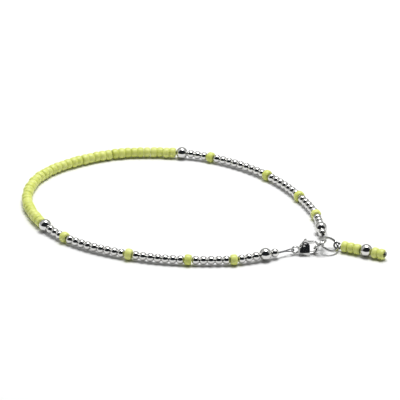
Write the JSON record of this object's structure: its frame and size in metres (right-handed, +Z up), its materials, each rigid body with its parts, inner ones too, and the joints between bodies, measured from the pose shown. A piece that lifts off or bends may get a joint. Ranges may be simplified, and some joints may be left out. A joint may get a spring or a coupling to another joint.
{
  "type": "anklet",
  "caption": "Beaded anklet closed in a loop, with silver and yellow beads on a wire, a claw clasp with a sprung lever, jump rings and a short beaded drop.",
  "frame": {"origin": "middle of the footprint's bounding box, on the surface the anklet lies on", "axes": "+Z up from the surface, +X towards the drop's end, +Y away from the picture's camera"},
  "size_m": [0.1066, 0.0756, 0.0047],
  "materials": {
    "silver": "polished",
    "yellow_glass": "satin opaque",
    "wire": "plain"
  },
  "bodies": {
    "strand": {"back_accent_bead_1": "yellow_glass", "back_accent_bead_2": "yellow_glass", "back_accent_bead_3": "yellow_glass", "back_accent_bead_4": "yellow_glass", "back_end_ball": "silver", "back_end_bead": "silver", "back_run_ball": "silver", "back_silver_run_1": "silver", "back_silver_run_2": "silver", "back_silver_run_3": "silver", "back_silver_run_4": "silver", "back_silver_run_5": "silver", "bead_wire": "wire", "clasp_body": "silver", "clasp_ring": "silver", "drop_ball": "silver", "drop_bead_1": "yellow_glass", "drop_bead_2": "yellow_glass", "drop_bead_3": "yellow_glass", "drop_bead_4": "yellow_glass", "drop_bead_5": "yellow_glass", "drop_pin": "wire", "drop_ring": "silver", "front_accent_bead_1": "yellow_glass", "front_accent_bead_2": "yellow_glass", "front_accent_bead_3": "yellow_glass", "front_accent_bead_4": "yellow_glass", "front_end_ball": "silver", "front_end_bead": "silver", "front_run_ball": "silver", "front_silver_run_1": "silver", "front_silver_run_2": "silver", "front_silver_run_3": "silver", "front_silver_run_4": "silver", "front_silver_run_5": "silver", "yellow_run": "yellow_glass"},
    "lever": {"clasp_lever": "silver"}
  },
  "joints": [
    {"name": "clasp_lever_hinge", "type": "hinge", "parent": "strand", "child": "lever", "pos_m": [0.0296, -0.02952, 0.003], "axis": [-0.1219, 0.9925, 0], "range_deg": [0, 16], "stiffness_Nm_per_rad": 0.01}
  ]
}
